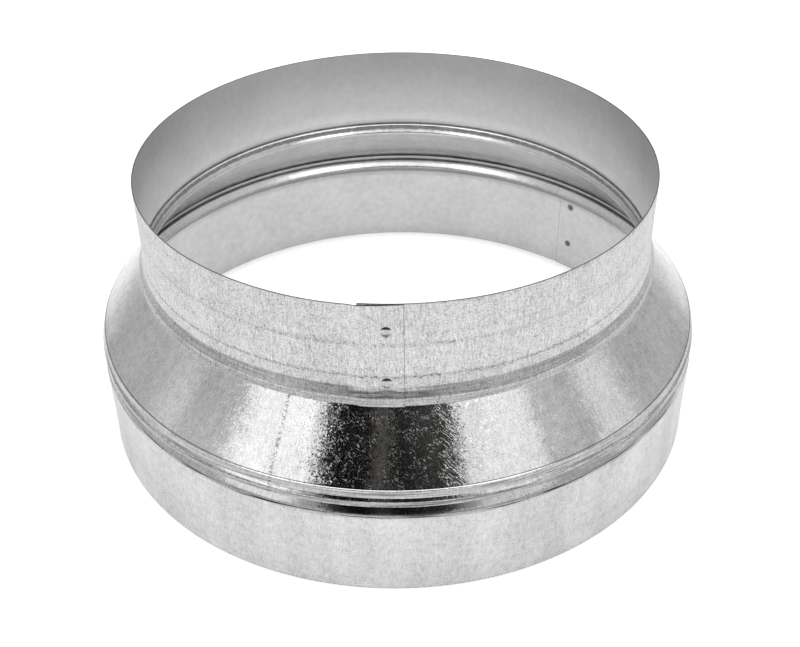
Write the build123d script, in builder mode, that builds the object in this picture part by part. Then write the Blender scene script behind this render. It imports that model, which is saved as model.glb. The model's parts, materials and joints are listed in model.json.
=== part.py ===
"""Round duct reducer of galvanised sheet steel.

Three sheets make it: a small collar and a large collar, each a strip rolled up and
spot-welded where its ends overlap, and a cone between them. Two folded lock seams hold
them together. In each seam the upper sheet goes down over the outside, turns under and
up again in a hem, and the lower sheet's edge is hooked over into that hem.

Millimetres, +Z up along the duct. The origin is the centre of the base rim, and the lap
of the small collar faces -Y. Azimuths count from -Y towards +X.
"""

import os
from math import atan2, cos, radians, sin, tan

from build123d import *

# Sheet
SHEET = 0.5  # thickness of all three sheets
FOLD_GAP = 0.1  # play between neighbouring layers of a seam
LAP_GAP = 0.05  # play between the two layers of a lap

# Diameters over the collars
SMALL_DIAMETER = 249.0
LARGE_DIAMETER = 301.0

# Heights, from the base rim upwards
LARGE_WALL = 43.0  # straight wall of the large collar
LOWER_SEAM_RISE = 5.9  # from the end of that wall to the lower edge of the lower seam
CONE_RISE = 35.75  # from the lower edge of one seam to that of the other
CREASE_RISE = 13.75  # from the upper seam's lower edge to the crease in the small collar
SMALL_WALL = 36.1  # straight wall of the small collar

# Upper seam, the small collar over the cone
UPPER_LIP_OUT = 2.7  # lip beyond the small collar's wall
UPPER_NECK_IN = 2.0  # neck of the flare inside the lip
UPPER_NECK_RISE = 8.75
UPPER_LIP_RISE = 4.25
UPPER_FOLD_RISE = 8.35
WAIST_SHELF_IN = 2.4  # shelf between the cone's fold and its waist, inside the lip
WAIST_SHELF_RISE = 1.7
WAIST_IN = 3.65  # the cone's waist inside the lip
WAIST_RISE = 0.1

# Lower seam, the cone over the large collar
LOWER_LIP_IN = 0.3  # lip inside the large collar's wall
LOWER_NECK_IN = 1.1
LOWER_NECK_RISE = 4.4
LOWER_LIP_RISE = 3.1
LOWER_FOLD_RISE = 5.6
CONE_FOOT_IN = 2.3  # foot of the cone inside the lip
CONE_FOOT_RISE = 8.7
CREST_SHELF_IN = 3.1  # shelf between the large collar's fold and its crest, inside the lip
CREST_SHELF_RISE = 4.3
CREST_IN = 5.25  # crest of the large collar's groove inside the lip
CREST_RISE = 1.6

# Hems and hooks, the same in both seams
HEM_RISE = 2.4  # the hem's edge above the seam's lower edge
HOOK_GAP = 0.4  # room between the hook's edge and the bottom of the hem
HEM_FLAT = 0.12  # flat across the bottom of a hem, between its two bends
UPPER_FOLD_BEND = 0.9  # bend radii at the middle of the sheet
LOWER_FOLD_BEND = 0.45
SHELF_BEND = 0.4
WAIST_BEND = 0.8
CREST_BEND = 1.0
SHOULDER_BEND = 3.0
SEAM_LEG = 1.0  # straight wall, all round, between a collar's lapped strip and its first bend

# Laps and their spot welds
LAP_LENGTH = 18.6
JOGGLE_LENGTH = 5.0  # over which the outer end steps up on to the inner end
SMALL_LAP_AZIMUTH = -7.3  # where the inner end of the small collar stops
LARGE_LAP_AZIMUTH = 138.5
SMALL_WELDS_BELOW_RIM = (13.0, 38.9)
LARGE_WELDS_ABOVE_BASE = (16.0, 39.3)
SMALL_WELD_INSET = 11.4  # from the end of the inner strip
LARGE_WELD_INSET = 7.3
NUGGET_DIAMETER = 3.6
DIMPLE_DIAMETER = 5.0
DIMPLE_DEPTH = 0.2
DIMPLE_TAPER = 60.0  # degrees that the wall of a dimple leans from upright

# Worked out from the sizes above, at the middle of the sheet
layer = SHEET + FOLD_GAP
lap_step = SHEET + LAP_GAP
hem_bend = layer - HEM_FLAT / 2
small_radius = SMALL_DIAMETER / 2 - SHEET / 2
large_radius = LARGE_DIAMETER / 2 - SHEET / 2
upper_lip = small_radius + UPPER_LIP_OUT
lower_lip = large_radius - LOWER_LIP_IN
lower_seam = LARGE_WALL + LOWER_SEAM_RISE
upper_seam = lower_seam + CONE_RISE
crease_height = upper_seam + CREASE_RISE
rim_height = crease_height + SMALL_WALL


def outward(azimuth):
    """Direction away from the duct axis at an azimuth."""
    return Vector(sin(radians(azimuth)), -cos(radians(azimuth)), 0)


def half_plane(azimuth):
    """Plane through the duct axis: its x is the radius and its y is the height."""
    return Plane((0, 0, 0), x_dir=outward(azimuth), z_dir=outward(azimuth - 90))


def degrees_of(length, radius):
    """Angle at the duct axis of a length measured along a collar's wall."""
    return length / radius / radians(1)


def cover(lip, seam, neck_in, neck_rise, lip_rise):
    """Outer sheet of a seam: from the neck out to the lip, down, under and up in the hem."""
    return [
        (lip - neck_in, seam + neck_rise),
        (lip, seam + lip_rise),
        (lip, seam + SHEET / 2),
        (lip - 2 * layer, seam + SHEET / 2),
        (lip - 2 * layer, seam + HEM_RISE),
    ]


def hook(lip, seam, neck_in, neck_rise, lip_rise, fold_rise):
    """Inner sheet of a seam: from its edge in the hem up, one layer inside the cover, to its fold."""
    lean = atan2(neck_in, neck_rise - lip_rise)
    corner_rise = lip_rise - layer * tan(lean / 2)
    return [
        (lip - layer, seam + SHEET + HOOK_GAP),
        (lip - layer, seam + corner_rise),
        (lip - layer - (fold_rise - corner_rise) * tan(lean), seam + fold_rise),
    ]


def section(azimuth, points, bends=(), step=0.0):
    """Section of a sheet bent through the points, stepped outwards to lie on another layer."""
    with BuildSketch(half_plane(azimuth)) as sheet:
        with BuildLine():
            if bends:
                FilletPolyline(*points, radius=bends)
            else:
                Polyline(*points)
            if step:
                offset(amount=step, side=Side.LEFT, closed=False, kind=Kind.INTERSECTION)
        trace(line_width=SHEET)
    return sheet.sketch


def small_radius_at(height):
    """Radius of the small collar at a height on its wall or on the gentle flare below the crease."""
    flare = (UPPER_LIP_OUT - UPPER_NECK_IN) / (CREASE_RISE - UPPER_NECK_RISE)
    return small_radius + max(0.0, crease_height - height) * flare


upper_cover = cover(upper_lip, upper_seam, UPPER_NECK_IN, UPPER_NECK_RISE, UPPER_LIP_RISE)
upper_hook = hook(upper_lip, upper_seam, UPPER_NECK_IN, UPPER_NECK_RISE, UPPER_LIP_RISE, UPPER_FOLD_RISE)
lower_cover = cover(lower_lip, lower_seam, LOWER_NECK_IN, LOWER_NECK_RISE, LOWER_LIP_RISE)
lower_hook = hook(lower_lip, lower_seam, LOWER_NECK_IN, LOWER_NECK_RISE, LOWER_LIP_RISE, LOWER_FOLD_RISE)
dimple_mouth = DIMPLE_DIAMETER / 2 + DIMPLE_DEPTH * tan(radians(DIMPLE_TAPER))

# Small collar: the seam goes right round, and the strip of its wall overlaps itself
small_rim = (small_radius, rim_height)
small_lap_foot = (small_radius, crease_height + SEAM_LEG)
small_crease = (small_radius, crease_height)
small_wall = [small_rim, small_lap_foot]
small_seam = [small_lap_foot, small_crease] + upper_cover
small_tab = [small_rim, small_crease] + upper_cover[:3]
small_joggle = degrees_of(JOGGLE_LENGTH, small_radius)
small_lap = degrees_of(LAP_LENGTH, small_radius)
small_weld = SMALL_LAP_AZIMUTH + degrees_of(SMALL_WELD_INSET, small_radius)

with BuildPart() as small_collar:
    revolve(section(0, small_seam, [0, 0, 0, hem_bend, hem_bend]), Axis.Z)
    revolve(section(SMALL_LAP_AZIMUTH, small_wall), Axis.Z, 360 - small_joggle)
    loft(
        [
            section(SMALL_LAP_AZIMUTH - small_joggle, small_wall),
            section(SMALL_LAP_AZIMUTH, small_wall, step=lap_step),
        ]
    )
    revolve(section(SMALL_LAP_AZIMUTH, small_tab, step=lap_step), Axis.Z, small_lap)
    for below_rim in SMALL_WELDS_BELOW_RIM:
        weld_height = rim_height - below_rim
        weld_radius = small_radius_at(weld_height)
        weld_point = outward(small_weld) * weld_radius + Vector(0, 0, weld_height)
        with BuildSketch(Plane(weld_point, z_dir=outward(small_weld))):
            Circle(NUGGET_DIAMETER / 2)
        extrude(amount=lap_step)
        above_face = outward(small_weld) * (lap_step + SHEET / 2 + DIMPLE_DEPTH)
        with BuildSketch(Plane(weld_point + above_face, z_dir=-outward(small_weld))):
            Circle(dimple_mouth)
        extrude(amount=2 * DIMPLE_DEPTH, taper=DIMPLE_TAPER, mode=Mode.SUBTRACT)
small_collar.part.label = "small_collar"

# Cone: hooked into the small collar's hem at the top, and over the large collar at its foot
waist_shelf = (upper_lip - WAIST_SHELF_IN, upper_seam + WAIST_SHELF_RISE)
cone_waist = (upper_lip - WAIST_IN, upper_seam + WAIST_RISE)
cone_foot = (lower_lip - CONE_FOOT_IN, lower_seam + CONE_FOOT_RISE)
cone_line = upper_hook + [waist_shelf, cone_waist, cone_foot] + lower_cover
cone_bends = [0, UPPER_FOLD_BEND, SHELF_BEND, WAIST_BEND, 0, 0, 0, hem_bend, hem_bend]

with BuildPart() as cone:
    revolve(section(0, cone_line, cone_bends), Axis.Z)
cone.part.label = "cone"

# Large collar: its groove and hook go right round, and the strip of its wall overlaps itself
large_lap_top = (large_radius, LARGE_WALL - SEAM_LEG)
large_shoulder = (large_radius, LARGE_WALL)
large_crest = (lower_lip - CREST_IN, lower_seam + CREST_RISE)
crest_shelf = (lower_lip - CREST_SHELF_IN, lower_seam + CREST_SHELF_RISE)
large_groove = [large_lap_top, large_shoulder, large_crest, crest_shelf] + lower_hook[::-1]
groove_bends = [SHOULDER_BEND, CREST_BEND, SHELF_BEND, LOWER_FOLD_BEND, 0]
large_wall = [large_lap_top, (large_radius, 0)]
large_joggle = degrees_of(JOGGLE_LENGTH, large_radius)
large_lap = degrees_of(LAP_LENGTH, large_radius)
large_weld = LARGE_LAP_AZIMUTH - degrees_of(LARGE_WELD_INSET, large_radius)

with BuildPart() as large_collar:
    revolve(section(0, large_groove, groove_bends), Axis.Z)
    revolve(section(LARGE_LAP_AZIMUTH, large_wall), Axis.Z, large_joggle - 360)
    loft(
        [
            section(LARGE_LAP_AZIMUTH + large_joggle, large_wall),
            section(LARGE_LAP_AZIMUTH, large_wall, step=lap_step),
        ]
    )
    revolve(section(LARGE_LAP_AZIMUTH, large_wall, step=lap_step), Axis.Z, -large_lap)
    for weld_height in LARGE_WELDS_ABOVE_BASE:
        weld_point = outward(large_weld) * large_radius + Vector(0, 0, weld_height)
        with BuildSketch(Plane(weld_point, z_dir=outward(large_weld))):
            Circle(NUGGET_DIAMETER / 2)
        extrude(amount=lap_step)
        above_face = -outward(large_weld) * (SHEET / 2 + DIMPLE_DEPTH)
        with BuildSketch(Plane(weld_point + above_face, z_dir=outward(large_weld))):
            Circle(dimple_mouth)
        extrude(amount=2 * DIMPLE_DEPTH, taper=DIMPLE_TAPER, mode=Mode.SUBTRACT)
large_collar.part.label = "large_collar"

os.makedirs("parts", exist_ok=True)
for piece in (small_collar, cone, large_collar):
    export_step(piece.part, f"parts/{piece.part.label}.step")
    print(piece.part.label, round(piece.part.volume / 1000, 2), "cm3")
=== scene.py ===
# %% [markdown]
# # A galvanised duct reducer
#
# A reducer steps a round air duct from one diameter to the next. This one is three pieces of
# galvanised sheet steel: a small collar, a cone and a large collar. Two folded seams lock them
# together, and each collar is a strip that overlaps itself at a spot-welded lap.
#
# The lesson builds each sheet as a profile carried round the duct's axis, gives it a zinc finish
# made of nodes, and sets it in a small white studio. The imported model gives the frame: the new
# sheets stand exactly where its three nodes stand, and take their place.

# %% Load the frame
import json

import bpy
import numpy as np
from mathutils import Matrix, Vector


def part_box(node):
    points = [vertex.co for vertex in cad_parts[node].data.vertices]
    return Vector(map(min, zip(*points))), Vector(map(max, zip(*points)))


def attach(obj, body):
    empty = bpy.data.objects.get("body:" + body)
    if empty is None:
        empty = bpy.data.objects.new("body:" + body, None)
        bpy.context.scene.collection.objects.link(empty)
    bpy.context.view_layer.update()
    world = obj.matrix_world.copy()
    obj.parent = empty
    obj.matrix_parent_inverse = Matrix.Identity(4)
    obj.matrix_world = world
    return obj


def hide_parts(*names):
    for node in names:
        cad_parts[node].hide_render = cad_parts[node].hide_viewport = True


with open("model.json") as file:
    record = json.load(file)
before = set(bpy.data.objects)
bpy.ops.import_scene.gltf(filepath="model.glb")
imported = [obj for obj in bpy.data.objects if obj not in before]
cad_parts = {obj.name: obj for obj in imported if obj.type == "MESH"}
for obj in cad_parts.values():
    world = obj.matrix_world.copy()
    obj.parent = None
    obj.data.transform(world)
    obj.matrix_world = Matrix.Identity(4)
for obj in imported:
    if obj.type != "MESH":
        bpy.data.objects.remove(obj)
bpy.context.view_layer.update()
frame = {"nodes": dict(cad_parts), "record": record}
print("nodes:", sorted(frame["nodes"]))

# %% [markdown]
# ## Sizes
#
# The main sizes are read from the frame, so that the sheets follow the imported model: the radii
# of the two collars come from its mounts, and the heights of the seams from its boxes. What the
# boxes can't tell, such as how far a hem is folded back, is written out in millimetres where
# it is needed.

# %% Sizes in millimetres
METRE = 1000.0
SHEET = 0.5
FOLD_GAP = 0.1
LAP_GAP = 0.05
layer = SHEET + FOLD_GAP
lap_step = SHEET + LAP_GAP

mounts = {mount["name"]: mount for mount in frame["record"]["mounts"]}
small_radius = mounts["small_spigot"]["dims"]["r_mm"] - SHEET / 2
large_radius = mounts["large_socket"]["dims"]["r_mm"] + SHEET / 2
rim_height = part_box("small_collar")[1].z * METRE
crease_height = rim_height - mounts["small_spigot"]["dims"]["length_mm"]
upper_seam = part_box("small_collar")[0].z * METRE
lower_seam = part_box("cone")[0].z * METRE
upper_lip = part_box("small_collar")[1].x * METRE - SHEET / 2
lower_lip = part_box("cone")[1].x * METRE - SHEET / 2
print(f"collars {small_radius:.2f} and {large_radius:.2f} at mid-sheet")
print(f"rim at {rim_height:.1f} and crease at {crease_height:.1f}")
print(f"seams at {upper_seam:.2f} and {lower_seam:.2f}, lips {upper_lip:.2f} and {lower_lip:.2f}")

# %% [markdown]
# ## A bent sheet in section
#
# A folding machine leaves straight runs joined by arcs. So a section is written as the few
# corners that the runs would meet in and the radius of each bend, and one function fills in the
# arcs. It could be drawn as a curve with bevelled points, but here the arcs are worked out, so
# that the spacing of the points suits each bend.

# %% Bent lines
ARC_STEP = np.radians(12)


def bent_line(corners, bends, run_steps):
    """Mid-line of a bent sheet, as rows of radius and height.

    At each corner the runs are cut back by bend x tan(turn / 2), and an arc of that radius is
    put in their place. Runs are divided about every run_steps, which is one number or one for
    each run, and arcs about every ARC_STEP.
    """
    corners = np.array(corners, float)
    run_steps = np.broadcast_to(run_steps, len(corners) - 1)
    pieces = []
    start = corners[0]
    for here, after, bend, run_step in zip(corners[1:-1], corners[2:], bends, run_steps):
        before = (here - start) / np.linalg.norm(here - start)
        onward = (after - here) / np.linalg.norm(after - here)
        turn = np.arctan2(before[0] * onward[1] - before[1] * onward[0], before @ onward)
        cut = bend * np.tan(abs(turn) / 2)
        arc_start = here - before * cut
        run_count = max(1, int(np.ceil(np.linalg.norm(arc_start - start) / run_step)))
        share = np.linspace(0, 1, run_count, endpoint=False)[:, None]
        pieces.append(start + (arc_start - start) * share)
        spoke = np.sign(turn) * bend * np.array([before[1], -before[0]])
        across = np.array([-spoke[1], spoke[0]])
        arc_count = max(2, int(np.ceil(abs(turn) / ARC_STEP)))
        angle = np.linspace(0, turn, arc_count, endpoint=False)[:, None]
        pieces.append(arc_start - spoke + spoke * np.cos(angle) + across * np.sin(angle))
        start = here + onward * cut
    run_count = max(1, int(np.ceil(np.linalg.norm(corners[-1] - start) / run_steps[-1])))
    share = np.linspace(0, 1, run_count + 1)[:, None]
    pieces.append(start + (corners[-1] - start) * share)
    return np.concatenate(pieces)


def lengths_along(line):
    """Length from the start of a mid-line to each of its points: the sum of the runs before it."""
    return np.concatenate([[0], np.cumsum(np.linalg.norm(np.diff(line, axis=0), axis=1))])


def length_at(line, height):
    """Length along a mid-line, in millimetres, at which it first goes down through a height."""
    lengths = lengths_along(line)
    first = np.flatnonzero((line[:-1, 1] >= height) & (line[1:, 1] < height))[0]
    share = (line[first, 1] - height) / (line[first, 1] - line[first + 1, 1])
    return lengths[first] + share * (lengths[first + 1] - lengths[first])


print(f"arcs are divided about every {np.degrees(ARC_STEP):.0f} degrees")

# %% [markdown]
# ## Folded seams
#
# At a lock seam the outer sheet covers the joint: it comes over a neck to a lip, goes straight
# down, turns under and comes up again in a hem. The inner sheet has a hook that stands in that
# hem, one layer inside the cover. Both are written from the lip and the height of the seam's
# underside, so the two sheets keep their gap wherever the seam lies.

# %% Folded seams
HEM_RISE, HEM_BEND = 2.4, 0.54
HOOK_GAP = 0.4


def cover(lip, seam, neck_in, neck_rise, lip_rise):
    """Corners of a seam's outer sheet: neck, lip, down, under and up again in the hem."""
    hem = lip - 2 * layer
    foot = seam + SHEET / 2
    neck = (lip - neck_in, seam + neck_rise)
    return [neck, (lip, seam + lip_rise), (lip, foot), (hem, foot), (hem, seam + HEM_RISE)]


def hook(lip, seam, neck_in, neck_rise, lip_rise, fold_rise):
    """Corners of a seam's inner sheet: its edge in the hem, its bend under the lip and its fold.

    It leans as the cover does above the lip, and is set in from it by one layer.
    """
    lean = np.arctan2(neck_in, neck_rise - lip_rise)
    corner_rise = lip_rise - layer * np.tan(lean / 2)
    fold_in = layer + (fold_rise - corner_rise) * np.tan(lean)
    edge = (lip - layer, seam + SHEET + HOOK_GAP)
    return [edge, (lip - layer, seam + corner_rise), (lip - fold_in, seam + fold_rise)]


def from_seam(lip, seam, places):
    """Corners that are given by how far in they are from a lip and how far above its seam."""
    return [(lip - inward, seam + rise) for inward, rise in places]


print(f"hems come up {HEM_RISE} above the seams, and hooks stand {HOOK_GAP} above their floor")

# %% [markdown]
# ## The three sections
#
# From the top, the small collar goes straight down to a crease, flares out and covers the upper
# seam. The cone starts in that hem, folds over to a small shelf at its waist, widens down to a
# ledge at its foot and covers the lower seam. The large collar starts in the cone's hem, has a
# shelf and a crest inside and a groove outside, and goes straight down to the floor.

# %% Sections
UPPER_NECK = dict(neck_in=2.0, neck_rise=8.75, lip_rise=4.25)
LOWER_NECK = dict(neck_in=1.1, neck_rise=4.4, lip_rise=3.1)
UPPER_FOLD, LOWER_FOLD = 8.35, 5.6
WAIST_SHELF = (2.4, 1.7), (3.65, 0.1)
FOOT_LEDGE = (1.8, 8.15), (1.35, 7.85)
CREST_SHELF = (3.1, 4.3), (5.25, 1.6)
SHOULDER_DROP, SHOULDER_BEND = 5.9, 6.0
CREASE_BEND, UPPER_NECK_BEND, UPPER_LIP_BEND = 25.0, 2.0, 1.2
UPPER_HOOK_BEND, UPPER_FOLD_BEND, SHELF_BEND, WAIST_BEND = 0.8, 0.9, 0.4, 0.8
LEDGE_BENDS = [0.1, 0.3]
LOWER_NECK_BEND, LOWER_LIP_BEND = 0.6, 0.6
LOWER_HOOK_BEND, LOWER_FOLD_BEND, CREST_BEND = 0.6, 0.45, 1.0

small_corners = [(small_radius, rim_height), (small_radius, crease_height)]
small_corners += cover(upper_lip, upper_seam, **UPPER_NECK)
small_bends = [CREASE_BEND, UPPER_NECK_BEND, UPPER_LIP_BEND, HEM_BEND, HEM_BEND]

cone_corners = hook(upper_lip, upper_seam, fold_rise=UPPER_FOLD, **UPPER_NECK)
cone_corners += from_seam(upper_lip, upper_seam, WAIST_SHELF)
cone_corners += from_seam(lower_lip, lower_seam, FOOT_LEDGE)
cone_corners += cover(lower_lip, lower_seam, **LOWER_NECK)
cone_bends = [UPPER_HOOK_BEND, UPPER_FOLD_BEND, SHELF_BEND, WAIST_BEND] + LEDGE_BENDS
cone_bends += [LOWER_NECK_BEND, LOWER_LIP_BEND, HEM_BEND, HEM_BEND]

shoulder_height = lower_seam - SHOULDER_DROP
large_corners = hook(lower_lip, lower_seam, fold_rise=LOWER_FOLD, **LOWER_NECK)
large_corners += from_seam(lower_lip, lower_seam, CREST_SHELF)
large_corners += [(large_radius, shoulder_height), (large_radius, 0)]
large_bends = [LOWER_HOOK_BEND, LOWER_FOLD_BEND, SHELF_BEND, CREST_BEND, SHOULDER_BEND]
print("corners in the sections:", len(small_corners), len(cone_corners), len(large_corners))

# %% [markdown]
# ## Carrying a section round the axis
#
# A sheet is its mid-line set off half a thickness to each side, closed at both cut edges, and
# swept through a range of azimuths. Azimuth 0 is the front, at -Y, and grows towards +X. A strip
# that overlaps itself simply runs past a full turn. Dents, steps and dimples are one array that
# says how far each point of the grid moves along the sheet's normal.
#
# Each point also keeps two attributes. One is where it lies on the flat sheet, as the direction
# round the duct and the length along the section, because rolling marks and scratches follow the
# sheet round its bends. The other is how far it is from the nearest weld and from the nearest cut
# edge, and how high above that weld: a weld's disc is burnt darker, the upper rim of its dimple
# gets painted shade, and the sheet is darker along a cut edge.

# %% Swept sheets
FACE_OFFSET = 400.0
NO_WELD_NEAR = 30.0


def smooth(value):
    """Goes from 0 to 1 with level ends, and stays there outside that range."""
    value = np.clip(value, 0, 1)
    return value * value * (3 - 2 * value)


def around(radius, turn, rise):
    """Grid of points at a radius, an angle from the front and a height."""
    parts = np.broadcast_arrays(radius * np.sin(turn), -radius * np.cos(turn), rise)
    return np.stack(parts, axis=2)


def sheet_grid(line, azimuths, move, lift=None, pull=None, welds=(), cut_end=None, first_length=0.0):
    """Points and attributes of a sheet on a grid: azimuth by place round the closed section.

    The section goes down the outer face and back up the inner face. move(azimuth, height, face)
    gives the distance along the outward normal, with face 1 outside and -1 inside, and
    lift(azimuth, height) and pull(azimuth, height) give the distances upwards and towards the
    axis, all in millimetres and degrees. welds are rows of azimuth and height, and cut_end is the
    azimuth of the strip's visible end. first_length is the length at which the section starts,
    if it is part of a longer one.
    """
    along = np.gradient(line, axis=0)
    along /= np.linalg.norm(along, axis=1)[:, None]
    normal = np.stack([-along[:, 1], along[:, 0]], axis=1)
    length = lengths_along(line)
    middle = np.concatenate([line, line[::-1]])[None]
    normal = np.concatenate([normal, normal[::-1]])[None]
    length = np.concatenate([length, length[::-1]])[None]
    face = np.repeat([1.0, -1.0], len(line))[None]

    azimuth = azimuths[:, None]
    turn = np.radians(azimuth)
    height = middle[..., 1]
    push = SHEET / 2 * face + move(azimuth, height, face)
    radius = middle[..., 0] + normal[..., 0] * push - (pull(azimuth, height) if pull else 0)
    rise = height + normal[..., 1] * push + (lift(azimuth, height) if lift else 0)
    points = around(radius, turn, rise)
    flat_radius = line[:, 0].mean()
    flat = around(flat_radius, turn, first_length + length + FACE_OFFSET * (face < 0))

    to_weld = np.full(flat.shape[:2], NO_WELD_NEAR)
    above_weld = np.zeros(flat.shape[:2])
    for weld_azimuth, weld_height in welds:
        reach = np.hypot(flat_radius * np.radians(azimuth - weld_azimuth), height - weld_height)
        above_weld = np.where(reach < to_weld, height - weld_height, above_weld)
        to_weld = np.minimum(to_weld, reach)
    to_edge = np.broadcast_to(np.minimum(length, length.max() - length), to_weld.shape)
    if cut_end is not None:
        to_edge = np.minimum(to_edge, flat_radius * np.radians(abs(azimuth - cut_end)))
    near = np.stack([to_weld, to_edge, above_weld], axis=2)
    return points, flat, near


print("lengths on inner faces start at", FACE_OFFSET)

# %% [markdown]
# ## From grids to meshes
#
# The columns of a grid close on themselves, round the section. The rows of a ring close as well,
# and a strip gets a cap at each end instead. Edges sharper than a limit stay crisp, so that a
# cut edge doesn't blur into the faces beside it.

# %% Meshes
SHARP_ANGLE = np.radians(40)


def grid_faces(rows, columns, closed):
    """Quads of a grid whose columns close on themselves; a strip's open ends get a cap of quads."""
    row = np.arange(rows if closed else rows - 1)[:, None]
    column = np.arange(columns)[None, :]
    here = row * columns
    ahead = (row + 1) % rows * columns
    beside = (column + 1) % columns
    corners = np.broadcast_arrays(here + column, here + beside, ahead + beside, ahead + column)
    quads = np.stack(corners, axis=2).reshape(-1, 4)
    if not closed:
        half = np.arange(columns // 2 - 1)
        cap = np.stack([half, columns - 1 - half, columns - 2 - half, half + 1], axis=1)
        quads = np.concatenate([quads, cap, cap[:, ::-1] + (rows - 1) * columns])
    return quads


def build_sheet(name, grids, closed=False):
    """One mesh from one or more grids of points, in metres, with their attributes."""
    merged = [np.concatenate([part.reshape(-1, 3) for part in parts]) for parts in zip(*grids)]
    points, flat, near = merged
    sizes = [grid[0].shape[:2] for grid in grids]
    starts = np.cumsum([0] + [rows * columns for rows, columns in sizes])
    faces = np.concatenate([grid_faces(*size, closed) + start for size, start in zip(sizes, starts)])
    mesh = bpy.data.meshes.new(name)
    mesh.from_pydata(points / METRE, [], faces)
    for key, values in (("flat", flat / METRE), ("near", near)):
        layer_data = mesh.attributes.new(key, "FLOAT_VECTOR", "POINT").data
        layer_data.foreach_set("vector", values.astype(np.float32).ravel())
    mesh.polygons.foreach_set("use_smooth", np.ones(len(mesh.polygons), bool))
    mesh.set_sharp_from_angle(angle=SHARP_ANGLE)
    mesh.update()
    piece = bpy.data.objects.new(name, mesh)
    bpy.context.scene.collection.objects.link(piece)
    print(name, "has", len(mesh.vertices), "points and", 2 * len(mesh.polygons), "triangles")
    return piece


print(f"edges stay crisp from {np.degrees(SHARP_ANGLE):.0f} degrees")

# %% [markdown]
# ## Waves and weld dimples
#
# A rolled strip is never quite round, and on a shiny sheet even a few hundredths of a millimetre
# show. A sum of sine waves stands for that. It only goes inwards, so that the dressed part stays
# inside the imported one's size. A spot weld is a shallow dent that the electrode pressed in, with
# a low rim of metal round it.

# %% Waves and dimples
WELD_RADIUS = 2.6
WELD_DEPTH = 0.42
DENT_EDGE, DENT_SIDE = 1.05, 0.4
RIM_PLACE, RIM_WIDTH, RIM_SHARE = 1.15, 0.16, 0.2


def steps(*stops):
    """Azimuths from stop to stop: each (from, to, step) is divided evenly.

    An end that two stops share is kept once.
    """
    parts = [np.linspace(low, high, int(np.ceil((high - low) / step)) + 1) for low, high, step in stops]
    return np.concatenate([parts[0]] + [part[1:] for part in parts[1:]])


def hollow(azimuth, waves):
    """Unevenness that only goes inwards: sine waves of (cycles, phase, size), less their sizes."""
    turn = np.radians(azimuth)
    return sum(size * (np.sin(turn * cycles + phase) - 1) for cycles, phase, size in waves)


def dimple(azimuth, height, welds, radius):
    """Dents of spot welds: a flat middle, a steep side and a low raised rim round it."""
    dent = 0
    for weld_azimuth, weld_height in welds:
        sideways = radius * np.radians(azimuth - weld_azimuth)
        reach = np.hypot(sideways, height - weld_height) / WELD_RADIUS
        rim = RIM_SHARE * np.exp(-(((reach - RIM_PLACE) / RIM_WIDTH) ** 2))
        dent = dent + WELD_DEPTH * (rim - smooth((DENT_EDGE - reach) / DENT_SIDE))
    return dent


print("weld dimples are", 2 * WELD_RADIUS, "wide and", WELD_DEPTH, "deep")

# %% [markdown]
# ## Small collar
#
# The strip starts at its inner end, just left of the front, goes once round, steps out on to its
# own start and ends a little past it. That last stretch is the lap, and two spot welds hold it:
# round dimples that the electrode pressed into the outer layer. The two ends don't meet quite
# level: at the rim the outer layer dips, so that a sliver of the inner one shows above it, and at
# the flare the double layer didn't take the bend evenly and was pressed in a little.

# %% Small collar's unevenness
LAP_LENGTH = 18.6
JOGGLE_LENGTH = 5.0
SMALL_LAP = -7.3
SMALL_WELD_INSET = 11.4
SMALL_WELD_DROPS = 13.0, 38.9
SMALL_WAVES = (2, 0.6, 0.06), (5, 2.1, 0.04), (11, 4.0, 0.02), (23, 1.3, 0.01)
SMALL_WAVE_FADE = 12.0
RIM_DIP, DIP_DOWN, DIP_TURN = 0.8, 14.0, 38.0
PRESS_DEPTH, PRESS_RISE, PRESS_WIDTH = 0.7, 6.6, 1.6
PRESS_ARCH, ARCH_TURN = 0.9, 1.5

small_degree = np.degrees(1 / small_radius)
lap_end = SMALL_LAP + LAP_LENGTH * small_degree
joggle = JOGGLE_LENGTH * small_degree
small_weld_azimuth = SMALL_LAP + SMALL_WELD_INSET * small_degree + 360
small_welds = [(small_weld_azimuth, rim_height - drop) for drop in SMALL_WELD_DROPS]


def small_wave(azimuth, height):
    """Slight unevenness of the rolled strip, fading out towards the seam."""
    return smooth((height - crease_height) / SMALL_WAVE_FADE) * hollow(azimuth, SMALL_WAVES)


def pressed(azimuth, height):
    """Shallow trough along the flare, where the double layer was pressed in, higher under the welds."""
    from_weld = (azimuth - small_weld_azimuth + 180) % 360 - 180
    middle = upper_seam + PRESS_RISE + PRESS_ARCH * np.exp(-((from_weld / ARCH_TURN) ** 2))
    return -PRESS_DEPTH * np.exp(-(((height - middle) / PRESS_WIDTH) ** 2))


def small_dip(azimuth, height):
    """The outer end's rim sinks towards the lap and comes level again at its edge."""
    near_rim = smooth((height - rim_height + DIP_DOWN) / DIP_DOWN)
    sink = smooth((azimuth - (SMALL_LAP + 360 - DIP_TURN)) / DIP_TURN)
    back = np.clip((azimuth - (SMALL_LAP + 360)) / (lap_end - SMALL_LAP), 0, 1)
    return -RIM_DIP * near_rim * sink * (1 - back)


print(f"lap from {SMALL_LAP:.1f} to {lap_end:.1f} degrees")

# %% [markdown]
# The seam under the lap is a full ring, so the lapped layer is a grid of its own that stops at
# the lip's foot, and the strip meets it where the lap begins. The grid is finest there, because
# the welds are small.

# %% Small collar
def small_move(azimuth, height, face):
    """Strip round the duct: its last degrees step out by one layer, down to the lip's foot."""
    step = smooth((azimuth - (SMALL_LAP + 360 - joggle)) / joggle)
    above_hem = smooth((height - upper_seam - 0.3) / 0.6)
    start = 1 - smooth((azimuth - lap_end - 1) / 6)
    press = pressed(azimuth, height) * (start + step)
    return lap_step * step * above_hem + press + small_wave(azimuth, height)


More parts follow.
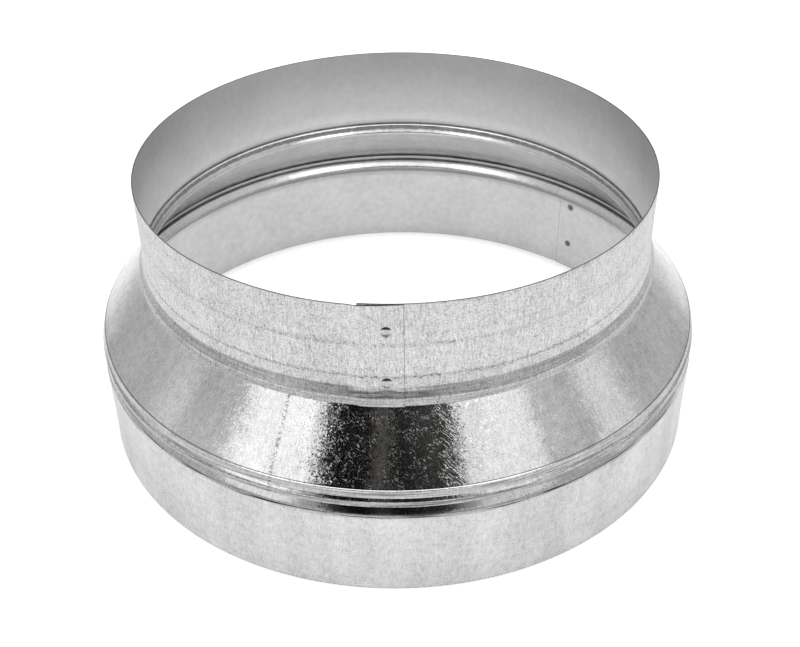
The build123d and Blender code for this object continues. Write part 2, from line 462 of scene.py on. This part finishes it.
def small_lap_move(azimuth, height, face):
    """Lapped layer: one layer out all over, with the dimples of the welds on its outer face."""
    dents = dimple(azimuth, height, small_welds, small_radius) * (face > 0)
    return lap_step + pressed(azimuth, height) + small_wave(azimuth, height) + dents


small_line = bent_line(small_corners, small_bends, (3.0, 0.8, 0.35, 0.7, 1.0, 1.0))
lap_line = bent_line(small_corners[:5], small_bends[:3], 0.35)
small_turn = steps((SMALL_LAP, SMALL_LAP + 350, 0.8), (SMALL_LAP + 350, SMALL_LAP + 360, 0.2))
lap_turn = steps((SMALL_LAP + 360, lap_end + 360, 0.14))
small_strip = sheet_grid(small_line, small_turn, small_move, small_dip, cut_end=SMALL_LAP)
small_lap = sheet_grid(
    lap_line, lap_turn, small_lap_move, small_dip, welds=small_welds, cut_end=lap_end + 360
)
small_collar = build_sheet("small_collar_sheet", [small_strip, small_lap])

# %% [markdown]
# ## Cone
#
# The cone is one closed ring. Bending rolls leave it very slightly flat in stripes that run from
# waist to foot, and on a shiny sheet those stripes show as streaks in the reflections, so they
# are worth a few hundredths of a millimetre here. Its hook gives way a little at the small
# collar's lap, where the flare over it was pressed in, so that the two sheets don't cross.

# %% Cone
CONE_WAVES = (7, 0.4, 0.05), (19, 1.9, 0.025), (31, 3.0, 0.014), (47, 5.2, 0.007)
HOOK_GIVE, GIVE_RISE = 0.36, 3.6
cone_top = upper_seam - 2.0
cone_foot = lower_seam + FOOT_LEDGE[0][1]


def cone_move(azimuth, height, face):
    """Flats left by the bending rolls, over the slope only."""
    slope = smooth((cone_top - height) / 5) * smooth((height - cone_foot) / 3)
    return slope * hollow(azimuth, CONE_WAVES)


def cone_pull(azimuth, height):
    """How far the top of the hook gives way at the lap: a step up at each side and from below."""
    turned = (azimuth + 180) % 360 - 180
    left = smooth((turned - SMALL_LAP + joggle + 1) / joggle)
    right = 1 - smooth((turned - lap_end - 2) / 6)
    return HOOK_GIVE * left * right * smooth((height - upper_seam - GIVE_RISE) / 1.5)


cone_line = bent_line(cone_corners, cone_bends, 2.0)
cone_turn = steps((0, 360, 0.75))[:-1]
cone_ring = sheet_grid(cone_line, cone_turn, cone_move, pull=cone_pull)
cone = build_sheet("cone_sheet", [cone_ring], closed=True)

# %% [markdown]
# ## Large collar
#
# The large collar is lapped as well, at the back right, the other way round: seen from inside,
# its inner end shows as a fine upright line with two weld dimples beside it. Its upper edge has
# the groove that the seam sits on, and its hook goes up into the cone's hem.

# %% Large collar
LARGE_LAP = 138.5
LARGE_WELD_INSET = 7.3
LARGE_WELD_HEIGHTS = 16.0, 41.4
LARGE_WAVES = (3, 1.1, 0.05), (7, 0.2, 0.04), (13, 2.6, 0.015), (29, 4.4, 0.008)
LAP_BELOW_SHOULDER = 1.0

large_degree = np.degrees(1 / large_radius)
large_joggle = JOGGLE_LENGTH * large_degree
large_first = LARGE_LAP - 360
large_lap_first = LARGE_LAP - LAP_LENGTH * large_degree - 360
large_weld_azimuth = LARGE_LAP - LARGE_WELD_INSET * large_degree
large_welds = [(large_weld_azimuth, height) for height in LARGE_WELD_HEIGHTS]


def large_wave(azimuth, height):
    """Slight unevenness of the rolled strip, fading out towards the groove and the base rim."""
    on_wall = smooth((shoulder_height - height) / 8) * smooth(height / 4)
    return on_wall * hollow(azimuth, LARGE_WAVES)


def large_move(azimuth, height, face):
    """Strip round the duct: it starts stepped out, and ends with the welds' dimples inside."""
    step = 1 - smooth((azimuth - large_first) / large_joggle)
    on_wall = smooth((shoulder_height - height) / LAP_BELOW_SHOULDER)
    dents = dimple(azimuth, height, large_welds, large_radius) * (face < 0)
    return lap_step * step * on_wall + large_wave(azimuth, height) - dents


def large_lap_move(azimuth, height, face):
    """Lapped layer on the outside, one layer out."""
    return lap_step + large_wave(azimuth, height)


large_line = bent_line(large_corners, large_bends, 0.9)
large_lap_height = shoulder_height - LAP_BELOW_SHOULDER
large_lap_line = bent_line([(large_radius, large_lap_height), (large_radius, 0)], [], 3.0)
lap_top = length_at(large_line, large_lap_height)
large_turn = steps(
    (large_first, large_first + 3, 0.3),
    (large_first + 3, LARGE_LAP - 6, 1.0),
    (LARGE_LAP - 6, LARGE_LAP, 0.15),
)
large_lap_turn = steps((large_lap_first, large_first, 0.5))
large_strip = sheet_grid(large_line, large_turn, large_move, welds=large_welds, cut_end=LARGE_LAP)
large_lap = sheet_grid(
    large_lap_line, large_lap_turn, large_lap_move, cut_end=large_lap_first, first_length=lap_top
)
large_collar = build_sheet("large_collar_sheet", [large_strip, large_lap])

# %% [markdown]
# ## Writing shader maths
#
# A finish is easier to read as an expression than as a list of nodes. This small class wraps a
# socket: arithmetic on it adds Math nodes, and one method adds any other node.

# %% Shader expressions
class Wire:
    """An output socket in a node tree, with arithmetic."""

    def __init__(self, tree, socket=None):
        self.tree = tree
        self.socket = socket

    def make(self, kind, settings, inputs, out=0):
        """Adds a node: its settings first, then a value or a wire for each of its inputs."""
        node = self.tree.nodes.new(kind)
        for key, value in settings.items():
            setattr(node, key, value)
        for key, value in inputs.items():
            if isinstance(value, Wire):
                self.tree.links.new(value.socket, node.inputs[key])
            else:
                node.inputs[key].default_value = value
        return Wire(self.tree, node.outputs[out] if node.outputs else None)

    def math(self, operation, *others):
        """Result of a Math node with this wire as its first value."""
        return self.make("ShaderNodeMath", {"operation": operation}, dict(enumerate((self,) + others)))

    def __add__(self, other):
        return self.math("ADD", other)

    __radd__ = __add__

    def __mul__(self, other):
        return self.math("MULTIPLY", other)

    __rmul__ = __mul__

    def __sub__(self, other):
        return self.math("SUBTRACT", other)

    def __rsub__(self, other):
        return (self * -1) + other

    def vector(self, operation, other=None):
        """Result of a Vector Math node with this wire as its first vector."""
        inputs = {0: self} if other is None else {0: self, 1: other}
        return self.make("ShaderNodeVectorMath", {"operation": operation}, inputs)

    def part(self, axis):
        """One part of a vector, by its letter."""
        return self.make("ShaderNodeSeparateXYZ", {}, {0: self}, out=axis)

    def between(self, low, high):
        """0 below low, 1 above high and a smooth rise from one to the other."""
        ranged = {"From Min": low, "From Max": high, "Value": self}
        return self.make("ShaderNodeMapRange", {"interpolation_type": "SMOOTHSTEP"}, ranged)

    def noise(self, size, detail=1.0):
        """Noise whose spots are about that size, in metres."""
        inputs = {"Vector": self, "Scale": 1 / size, "Detail": detail}
        return self.make("ShaderNodeTexNoise", {}, inputs)

    def cells(self, size):
        """A random vector for each Voronoi cell of about that size, each part from -0.5 to 0.5."""
        chosen = self.make("ShaderNodeTexVoronoi", {}, {"Vector": self, "Scale": 1 / size}, out="Color")
        return chosen.vector("SUBTRACT", (0.5, 0.5, 0.5))


def new_material(name):
    """An empty material, and a wire to start its nodes from."""
    material = bpy.data.materials.new(name)
    material.use_nodes = True
    material.node_tree.nodes.clear()
    print("material:", name)
    return material, Wire(material.node_tree)


# %% [markdown]
# ## Galvanised steel
#
# Hot-dipped zinc is a pale grey metal that freezes in crystals. Each crystal tips the surface a
# little its own way, so a reflection breaks up into grains: dark ones in a bright place and
# bright ones in a dark place. It could be a bump made of noise, but Voronoi cells with a random
# tilt keep the crystals' flat faces. The tilt of the fine grains is raised to its fifth
# power, so that most of them lie nearly flat and a few stand out.

# %% Crystals
GRAIN_SIZE = 0.0005
GRAIN_TILT = 16.0
CRYSTAL_SIZE = 0.0026
CRYSTAL_TILT = (0.016, 0.016, 0.016)


def crystal_tilt(place, outside, sparkle):
    """Sum of two random tilts: fine grains, each part to its fifth power, and larger crystals.

    The grains are on the outer face only, and they tilt more where the zinc is thick.
    """
    cells = place.cells(GRAIN_SIZE)
    squares = cells.vector("MULTIPLY", cells)
    grains = squares.vector("MULTIPLY", squares).vector("MULTIPLY", cells)
    thick = place.noise(0.007).between(0.34, 0.64)
    strength = GRAIN_TILT * sparkle * (0.5 + 0.5 * thick) * outside
    tilt = place.make("ShaderNodeVectorMath", {"operation": "SCALE"}, {0: grains, "Scale": strength})
    return tilt.vector("ADD", place.cells(CRYSTAL_SIZE).vector("MULTIPLY", CRYSTAL_TILT))


print(f"grains of {GRAIN_SIZE * METRE:.1f} mm on crystals of {CRYSTAL_SIZE * METRE:.1f} mm")

# %% [markdown]
# ## Marks of rolling and handling
#
# Rolling and handling leave specks, short scratches and rings of them. They are noise that is
# stretched on the flat-sheet attribute: along the strip, or across it. In places the marks
# gather in bands, and each band is a window on the length along the section. Painted shade is
# laid in such bands too, and a soft band of it has a ragged edge, as wear has.

# %% Marks and bands
RING_STRETCH = (0.02, 0.02, 1)
CRISP = 0.2


def window(length, low, high, soft):
    """1 where a length in metres lies between two in millimetres, with soft ends."""
    rise = length.between((low - soft) / METRE, (low + soft) / METRE)
    return rise * (1 - length.between((high - soft) / METRE, (high + soft) / METRE))


def banded(length, bands):
    """Sum of windows on a length, each band as from, to, softness and strength."""
    return sum(strength * window(length, low, high, soft) for low, high, soft, strength in bands)


def rolling_marks(place, flat, ragged, fine, outside, rows):
    """Specks, from 0 upwards, and a weave of noise along and across the strip, round 0."""
    patches = place.noise(0.012, detail=2).between(0.42, 0.60)
    bands = flat.vector("MULTIPLY", RING_STRETCH).noise(0.0030).between(0.52, 0.70)
    along_strip = flat.vector("MULTIPLY", (1, 1, 3.0)).noise(0.0016)
    across_strip = flat.vector("MULTIPLY", (1, 1, 0.16)).noise(0.0006)
    spots = place.noise(0.0008).between(0.56, 0.74)
    marks = along_strip.between(0.54, 0.72) * (0.25 + bands + banded(ragged, rows))
    marks = marks + 0.5 * across_strip.between(0.58, 0.76) * patches
    marks = marks + 0.5 * spots * (0.3 + patches)
    weave = along_strip + across_strip + fine - 1.0
    return marks * outside, weave * outside


def painted_shade_and_rings(flat, length, ragged, sides, shades, stripes, loss):
    """Sum of the shades, mostly painted shade, which lose a share at the sides, and of the fine rings
    in the stripes.
    """
    crisp = banded(length, [band for band in shades if band[2] < CRISP])
    # Shades with soft ends, here called worn, are mostly painted shade with a ragged edge.
    worn = banded(ragged, [band for band in shades if band[2] >= CRISP])
    fine_rings = flat.vector("MULTIPLY", RING_STRETCH).noise(0.0005).between(0.42, 0.68)
    return (crisp + worn) * (1 - loss * sides) + fine_rings * banded(length, stripes)


print("shades with ends softer than", CRISP, "mm are ragged")

# %% [markdown]
# ## Burnt, cut and scratched places
#
# Zinc is burnt off at a spot weld, so its disc is darker, and the sheet is darker along its cut
# edges. The upper rim of a weld's dimple gets painted shade. These read the attribute that holds
# the distances in millimetres. A brushed grain lies aslant on every sheet and dulls it in lines,
# most of all on the cone. The cone, being shiny, also shows a strip of hairline scratches and one
# broken streak that runs down its slope.

# %% Burns and scratches
STREAK_AZIMUTH = np.radians(-21.6)
STREAK_WIDTH = 0.012


def kept_tone(near, weld_burn_and_shade):
    """Share of the tone that is left at cut edges, on the burnt weld discs and under the painted shade
    along their upper rims.
    """
    cut = 1 - near.part("Y").between(0.06, 0.26)
    weld_disc = 1 - near.part("X").between(1.4, 2.4)
    # Painted shade along the upper rim of a weld's dimple.
    weld_top_painted_shade = (1 - near.part("X").between(2.1, 2.6)) * near.part("Z").between(0.3, 1.1)
    return (1 - 0.75 * cut) * (1 - weld_burn_and_shade[0] * weld_disc) * (1 - weld_burn_and_shade[1] * weld_top_painted_shade)


def brushed_grain(place, slanted):
    """Fine lines aslant on the sheet, from 0 upwards, stronger where it is worn."""
    worn = place.noise(0.0045, detail=2).between(0.40, 0.62)
    brushed = slanted.vector("MULTIPLY", (0.6, 1, 1)).noise(0.0006, detail=3).between(0.44, 0.70)
    return brushed * (0.4 + worn)


def hairlines(flat, slanted):
    """Long fine lines aslant on the sheet, in a strip to the right of the middle."""
    lines = slanted.vector("MULTIPLY", (0.06, 1, 1)).noise(0.0006).between(0.45, 0.72)
    across = flat.part("X")
    return lines * across.between(0.012, 0.018) * (1 - across.between(0.020, 0.030))


def broken_streak(place, azimuth):
    """A narrow streak down the sheet, broken up by noise."""
    from_streak = (azimuth - STREAK_AZIMUTH).math("ABSOLUTE")
    broken = place.noise(0.0009, detail=2).between(0.44, 0.62)
    return (1 - from_streak.between(0.0, STREAK_WIDTH)) * broken


print(f"streak at an azimuth of {np.degrees(STREAK_AZIMUTH):.1f} degrees")

# %% [markdown]
# ## The whole finish
#
# One function puts these together for any of the sheets. The tone chooses between dark and pale
# zinc. The roughness grows with specks, brushed lines and cloudy patches, and falls in bands that
# a tool has polished. The crystals go into the normal, with a very fine bump over them.

# %% Zinc finish
DARK_ZINC = (0.03, 0.03, 0.03, 1)
PALE_ZINC = (0.84, 0.84, 0.84, 1)
INSIDE_DULLER = 0.12
STREAK_DARKER = 0.7


def zinc(name, *, gloss, grain, sparkle, specks, clouds, tones, shades, stripes, rows=(), shine=(),
         fade=(0.1, 0.4, 0.0), weld_burn_and_shade=(0, 0), scratch=0.0):
    """Galvanised finish.

    gloss is the roughness to start from; grain, sparkle, specks, clouds and scratch are
    strengths. tones are those of the outer face and of the inner one; where the inner one is
    lighter, that is painted light for the inside of the duct. rows are bands of specks, shades are
    bands of painted shade, but for a ring of marks on the small collar, stripes are bands of fine
    rings, which on the large collar are painted shade, and shine are smoother bands, each as from,
    to, softness and strength, in millimetres along the section; lengths on the inner face have
    FACE_OFFSET added. fade says from which angle to which, going round from the front in radians,
    the painted shades change on the outer face, and what share of them they lose. The two weld
    tones say how much darker a weld's burnt disc is and how much painted shade the upper rim of
    its dimple gets.
    """
    material, wire = new_material(name)
    place = wire.make("ShaderNodeTexCoord", {}, {}, out="Object")
    flat = wire.make("ShaderNodeAttribute", {"attribute_name": "flat"}, {}, out="Vector")
    near = wire.make("ShaderNodeAttribute", {"attribute_name": "near"}, {}, out="Vector")
    facing = wire.make("ShaderNodeNewGeometry", {}, {}, out="Normal")
    length = flat.part("Z")
    outside = 1 - length.between(0.20, 0.21)
    azimuth = flat.part("X").math("ARCTAN2", flat.part("Y") * -1)
    # Away from the front the painted shades lose a share, as the dark that they stand for is mirrored
    # at the front.
    sides = azimuth.math("ABSOLUTE").between(fade[0], fade[1]) * outside
    ragged = length + 0.0016 * (place.noise(0.0016, detail=2) - 0.5)
    slanted = wire.make("ShaderNodeMapping", {}, {"Vector": flat, "Rotation": (0, np.radians(45), 0)})

    cloud = place.noise(0.024, detail=3) - 0.5
    mottle = place.noise(0.0035, detail=2) - 0.5
    fine = place.noise(0.0006) - 0.5
    upright = flat.vector("MULTIPLY", (1, 1, 0.03)).noise(0.014, detail=2) - 0.5
    marks, weave = rolling_marks(place, flat, ragged, fine, outside, rows)
    shade = painted_shade_and_rings(flat, length, ragged, sides, shades, stripes, fade[2])
    streak = broken_streak(place, azimuth) * outside

    # Where the inner face's tone is lighter than the outer one, that is painted light for the inside of
    # the duct.
    tone = tones[1] + (tones[0] - tones[1]) * outside + clouds * (cloud + mottle + upright * outside)
    tone = tone + specks * (1.3 * weave - marks.math("MINIMUM", 1.0))
    tone = tone * (1 - shade.math("MINIMUM", 1.0)) * kept_tone(near, weld_burn_and_shade)
    tone = tone * (1 - STREAK_DARKER * scratch * streak)
    mixed = {0: tone, 6: DARK_ZINC, 7: PALE_ZINC}
    colour = wire.make("ShaderNodeMix", {"data_type": "RGBA", "clamp_factor": True}, mixed, out=2)

    roughness = gloss + 0.12 * cloud + 0.2 * specks * marks + INSIDE_DULLER * (1 - outside)
    roughness = roughness + grain * brushed_grain(place, slanted) * outside - banded(length, shine)

    tipped = facing.vector("ADD", crystal_tilt(place, outside, sparkle)).vector("NORMALIZE")
    relief = 0.3 * fine + 0.5 * scratch * hairlines(flat, slanted) * outside
    bump = {"Strength": 0.3, "Distance": 0.00012, "Height": relief, "Normal": tipped}
    bumped = wire.make("ShaderNodeBump", {}, bump)
    surface = {"Base Color": colour, "Metallic": 1.0, "Roughness": roughness, "Normal": bumped}
    shader = wire.make("ShaderNodeBsdfPrincipled", {}, surface)
    wire.make("ShaderNodeOutputMaterial", {}, {"Surface": shader})
    return material


# %% [markdown]
# ## The small collar's zinc
#
# The small collar is satin. Its inner face is cleaner, without specks, and has a lighter tone,
# painted light for the inside of the duct, with painted shade towards the rim. Specks gather in
# two rings on the lower half of the wall and in the crease, which also gets painted shade, the
# flare gets painted shade and the lip under it is darker. Lengths run down the outer face from
# the rim, so a place on the section is found from its height.

# %% Small collar's finish
crease = length_at(small_line, crease_height)
upper_neck = length_at(small_line, upper_seam + UPPER_NECK["neck_rise"])
small_lip = length_at(small_line, upper_seam + UPPER_NECK["lip_rise"] - 0.6)
small_rows = [
    (18.4, 21.2, 0.9, 0.5),
    (25.8, 26.8, 0.4, 0.35),
    (crease - 1.0, crease + 0.7, 0.3, 1.6),
]
small_marks_and_painted_shades = [
    (19.2, 20.6, 0.7, 0.10),
    # Painted shade in the crease.
    (crease - 0.6, crease + 0.5, 0.3, 0.20),
    (small_lip, small_lip + 2.8, 0.3, 0.22),
    # Painted shade on the flare.
    (upper_neck + 0.2, small_lip - 0.4, 0.4, 0.10),
    # Painted shade on the inner face towards the rim.
    (FACE_OFFSET - 30, FACE_OFFSET + 18, 14, 0.20),
]
small_zinc = zinc(
    "zinc_small_collar",
    gloss=0.34,
    grain=0.10,
    sparkle=0.08,
    specks=0.55,
    clouds=0.16,
    # The lighter inner tone is painted light for the inside of the duct.
    tones=(0.785, 0.88),
    weld_burn_and_shade=(0, 1.0),
    rows=small_rows,
    shades=small_marks_and_painted_shades,
    stripes=[(upper_neck, small_lip + 3.0, 0.3, 0.25)],
)
print(f"crease at {crease:.1f} and lip at {small_lip:.1f} along the small collar")

# %% [markdown]
# ## The cone's zinc
#
# The cone is the shiniest sheet. The foot of its slope, the seam's neck and the bead under it get
# painted shade, and have fine rings from the folding machine. On the inner face, the ring past the
# foot and the leg that comes down from the upper fold get painted shade.

# %% Cone's finish
foot = length_at(cone_line, cone_foot)
lower_neck = length_at(cone_line, lower_seam + LOWER_NECK["neck_rise"])
cone_lip = length_at(cone_line, lower_seam + LOWER_NECK["lip_rise"])
inner_foot = FACE_OFFSET + foot
inner_leg = FACE_OFFSET + length_at(cone_line, upper_seam + 3.0)
# Painted shade: a dark line in the hollow at the foot, the ledge and the seam's neck, the bead and a
# line on it, and on the inner face the ring past the foot and the leg of the hook.
cone_painted_shades = [
    (foot - 0.4, foot + 0.05, 0.08, 0.8),
    (foot + 0.8, lower_neck - 0.3, 0.3, 0.3),
    (cone_lip, cone_lip + 2.4, 0.3, 0.38),
    (cone_lip + 1.5, cone_lip + 1.7, 0.15, 0.25),
    (inner_foot + 0.3, inner_foot + 3.5, 0.3, 0.4),
    (inner_leg - 1.2, inner_leg + 0.8, 0.4, 0.7),
]
cone_zinc = zinc(
    "zinc_cone",
    gloss=0.09,
    grain=0.18,
    sparkle=0.13,
    specks=0.34,
    clouds=0.32,
    tones=(0.86, 0.86),
    shades=cone_painted_shades,
    stripes=[(foot + 0.6, cone_lip + 3.0, 0.3, 0.45)],
    scratch=1.0,
)
print(f"foot at {foot:.1f} and bead at {cone_lip:.1f} along the cone")

# %% [markdown]
# ## The large collar's zinc
#
# The tool that rolled the groove polished it, and the shelf behind it on the inside, so both are
# smoother than the wall. The groove gets painted shade at the front, for the dark it mirrors
# there, fading towards the sides, and painted shade in a few fine rings at its shoulder. Inside,
# the collar gets painted shade under the crest and a little at the base, and its lighter inner
# tone is painted light for the inside of the duct.

# %% Large collar's finish
crest = length_at(large_line, lower_seam + CREST_SHELF[1][1])
groove_end = length_at(large_line, shoulder_height + 1.6)
inner_crest = FACE_OFFSET + crest
inner_base = FACE_OFFSET + length_at(large_line, 1.0)
# Painted shade: the groove at the front, for the dark it mirrors there, and on the inner face under the
# crest and at the base.
large_painted_shades = [
    (crest, groove_end, 0.7, 0.6),
    (inner_crest - 0.1, inner_crest + 4.4, 0.8, 0.5),
    (inner_base - 3.0, inner_base + 3.0, 6.0, 0.12),
]
large_shine = [
    (crest, groove_end + 1.0, 0.5, 0.2),
    (inner_crest - 3.4, inner_crest - 0.4, 0.3, 0.22),
]
large_zinc = zinc(
    "zinc_large_collar",
    gloss=0.32,
    grain=0.08,
    sparkle=0.08,
    specks=0.28,
    clouds=0.28,
    # The lighter inner tone is painted light for the inside of the duct.
    tones=(0.755, 0.93),
    weld_burn_and_shade=(0.8, 0),
    shades=large_painted_shades,
    # Painted shade at the groove's shoulder, in fine rings.
    stripes=[(groove_end + 0.6, groove_end + 2.4, 0.8, 1.0)],
    shine=large_shine,
    # The painted shade of the groove fades towards the sides.
    fade=(0.12, 0.36, 0.85),
)
print(f"crest at {crest:.1f} and end of the groove at {groove_end:.1f} along the large collar")

# %% [markdown]
# ## Sheets in place of the nodes
#
# Each sheet gets its finish, rides on the part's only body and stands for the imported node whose
# shape it refines.

# %% Dress the nodes
finishes = {
    small_collar: ("small_collar", small_zinc),
    cone: ("cone", cone_zinc),
    large_collar: ("large_collar", large_zinc),
}
for piece, (node, finish) in finishes.items():
    piece.data.materials.append(finish)
    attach(piece, "root")
    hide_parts(node)
    print(piece.name, "stands for", node, "with", finish.name)

# %% [markdown]
# ## Studio
#
# Sheet metal shows its surroundings, so the studio is most of its look: a white floor, a pale
# room, soft panels beside the camera and overhead, and a dark card where a photographer would
# stand. A world with a gradient could do much of it, but planes and lamps are easier to place.

# %% Stage planes
def stage_plane(name, centre, facing, size, material):
    """A flat rectangle of that width and height at a point, turned to face a direction."""
    facing = Vector(facing).normalized()
    across = Vector((0, 0, 1)).cross(facing) if abs(facing.z) < 0.99 else Vector((1, 0, 0))
    across.normalize()
    up = facing.cross(across)
    half_width, half_height = size[0] / 2, size[1] / 2
    signs = (-1, -1), (1, -1), (1, 1), (-1, 1)
    corners = [Vector(centre) + across * x * half_width + up * y * half_height for x, y in signs]
    mesh = bpy.data.meshes.new(name)
    mesh.from_pydata(corners, [], [(0, 1, 2, 3)])
    mesh.materials.append(material)
    plane = bpy.data.objects.new(name, mesh)
    bpy.context.scene.collection.objects.link(plane)
    print(name, "measures", size[0], "by", size[1], "m")
    return plane


def plain_light(wire, kind, colour):
    """An emission or background node of that colour, at a strength of 1."""
    return wire.make(kind, {}, {"Color": (*colour, 1), "Strength": 1.0})


# %% [markdown]
# ## Floor
#
# The floor is white paper that keeps the contact shadow, and it glows a little: to the camera,
# so that it comes out white, and in reflections, so that the metal shows a white floor too.
# Inside the duct, where less light falls, it glows more to the camera. Further out the paper is
# greyer, so that the far sides of the cone, which mirror it, don't wash out, and there the glow
# makes up for it to the camera alone.

# %% Floor
WHITE_PAPER = (0.94, 0.94, 0.94, 1)
GREY_PAPER = (0.68, 0.68, 0.68, 1)
FLOOR_DROP = 0.0003
INSIDE_GLOW = 0.52
OUTSIDE_LESS = 0.20
FAR_MORE = 0.40
MIRROR_GLOW = 0.16

floor_material, wire = new_material("white_floor")
camera_ray = wire.make("ShaderNodeLightPath", {}, {}, out="Is Camera Ray")
glossy_ray = wire.make("ShaderNodeLightPath", {}, {}, out="Is Glossy Ray")
place = wire.make("ShaderNodeTexCoord", {}, {}, out="Object")
reach = wire.make("ShaderNodeVectorMath", {"operation": "LENGTH"}, {0: place}, out="Value")
outer = reach.between(0.22, 0.60)
white_paper = wire.make("ShaderNodeBsdfDiffuse", {}, {"Color": WHITE_PAPER})
grey_paper = wire.make("ShaderNodeBsdfDiffuse", {}, {"Color": GREY_PAPER})
paper = wire.make("ShaderNodeMixShader", {}, {0: outer, 1: white_paper, 2: grey_paper})
camera_glow = INSIDE_GLOW - OUTSIDE_LESS * reach.between(0.143, 0.150) + FAR_MORE * outer
share = camera_glow * camera_ray + MIRROR_GLOW * glossy_ray * (1 - outer)
dark = plain_light(wire, "ShaderNodeEmission", (0, 0, 0))
bright = plain_light(wire, "ShaderNodeEmission", (1, 1, 1))
glow = wire.make("ShaderNodeMixShader", {}, {0: share, 1: dark, 2: bright})
surface = wire.make("ShaderNodeAddShader", {}, {0: paper, 1: glow})
wire.make("ShaderNodeOutputMaterial", {}, {"Surface": surface})
stage_plane("floor", (0, 0, -FLOOR_DROP), (0, 0, 1), (6, 6), floor_material)

# %% [markdown]
# ## Dark card
#
# The front of the cone mirrors the place between the two panels, and is dark there with a paler
# stripe. A card stands in that place. It is seen only in reflections: it casts no shadow and
# gives no soft light.

# %% Dark card
STRIPE_PLACE = -0.09
WARM_GREY = (1, 0.93, 0.86)

card_material, wire = new_material("dark_card")
card_x = wire.make("ShaderNodeTexCoord", {}, {}, out="Object").part("X")
pale_stripe = 1 - (card_x - STRIPE_PLACE).math("ABSOLUTE").between(0.01, 0.06)
share = 0.002 + 0.10 * pale_stripe + 0.04 * card_x.between(0.0, 0.22)
dark = plain_light(wire, "ShaderNodeEmission", (0, 0, 0))
grey = plain_light(wire, "ShaderNodeEmission", WARM_GREY)
surface = wire.make("ShaderNodeMixShader", {}, {0: share, 1: dark, 2: grey})
wire.make("ShaderNodeOutputMaterial", {}, {"Surface": surface})
card_centre = (-0.049, -0.8216, 0.5024)
card_facing = (0.054, 0.746, -0.663)
card = stage_plane("dark_card", card_centre, card_facing, (0.675, 0.72), card_material)
card.visible_camera = False
card.visible_diffuse = False
card.visible_shadow = False

# %% [markdown]
# ## Room
#
# The world is the room's pale walls, a little darker behind the duct than in front of it. To the
# camera it is white.

# %% Room
FRONT_WALL = (0.58, 0.58, 0.58)
BACK_WALL = (0.53, 0.53, 0.53)

world = bpy.data.worlds.new("studio")
world.use_nodes = True
world.node_tree.nodes.clear()
wire = Wire(world.node_tree)
camera_ray = wire.make("ShaderNodeLightPath", {}, {}, out="Is Camera Ray")
behind = wire.make("ShaderNodeTexCoord", {}, {}, out="Generated").part("Y").between(-0.1, 0.8)
front_wall = plain_light(wire, "ShaderNodeBackground", FRONT_WALL)
back_wall = plain_light(wire, "ShaderNodeBackground", BACK_WALL)
room = wire.make("ShaderNodeMixShader", {}, {0: behind, 1: front_wall, 2: back_wall})
white = plain_light(wire, "ShaderNodeBackground", (1, 1, 1))
backdrop = wire.make("ShaderNodeMixShader", {}, {0: camera_ray, 1: room, 2: white})
wire.make("ShaderNodeOutputWorld", {}, {"Surface": backdrop})
bpy.context.scene.world = world
print("world:", world.name)

# %% [markdown]
# ## Panels
#
# A lamp's power spreads over its area, so a panel's brightness is its power over pi times its
# area. It is easier to choose how bright a panel looks, and to work out the power.

# %% Panels
def soft_panel(name, place, aim, size, brightness):
    """A rectangular lamp at a point, turned towards another, that looks that bright."""
    lamp = bpy.data.lights.new(name, "AREA")
    lamp.shape = "RECTANGLE"
    lamp.size, lamp.size_y = size
    lamp.energy = brightness * np.pi * size[0] * size[1]
    turn = (Vector(aim) - Vector(place)).to_track_quat("-Z", "Y").to_matrix().to_4x4()
    panel = bpy.data.objects.new(name, lamp)
    panel.matrix_world = Matrix.Translation(place) @ turn
    bpy.context.scene.collection.objects.link(panel)
    print(name, "at", place, "with", round(lamp.energy, 2), "W")


soft_panel("left_panel", (-0.743, -0.704, 0.702), (-0.05, -0.13, 0.07), (0.53, 0.80), 0.66)
soft_panel("right_panel", (0.624, -0.786, 0.735), (0.04, -0.13, 0.07), (0.52, 0.80), 0.46)
soft_panel("right_strip", (1.098, -0.209, 0.497), (0.09, -0.10, 0.07), (0.26, 0.60), 0.30)
soft_panel("left_strip", (-1.128, -0.11, 0.449), (-0.1, -0.10, 0.07), (0.16, 0.60), 0.16)
soft_panel("top_panel", (0, -0.15, 1.25), (0, -0.15, 0), (1.8, 2.0), 1.10)

# %% [markdown]
# ## Camera
#
# The camera stands where the photographer's did, a little over half a metre away and looking
# down at about 36 degrees, and leans by less than a degree.

# %% Camera
EYE = Vector((0.0012, -0.4907, 0.3909))
TARGET = Vector((0.0012, 0.0, 0.03496))
LEAN = 0.01454
forward = (TARGET - EYE).normalized()
level = forward.cross(Vector((0, 0, 1))).normalized()
upward = level.cross(forward)
camera_x = (level - LEAN * upward).normalized()
camera_y = (upward + LEAN * level).normalized()
lens = bpy.data.cameras.new("camera")
lens.sensor_fit = "HORIZONTAL"
lens.sensor_width = 36.0
lens.lens = 51.525
lens.clip_start = 0.01
camera = bpy.data.objects.new("camera", lens)
turned = Matrix((camera_x, camera_y, -forward)).transposed().to_4x4()
camera.matrix_world = Matrix.Translation(EYE) @ turned
bpy.context.scene.collection.objects.link(camera)
bpy.context.scene.camera = camera
bpy.context.scene.view_settings.view_transform = "Standard"
print("camera at", [round(v, 3) for v in EYE])
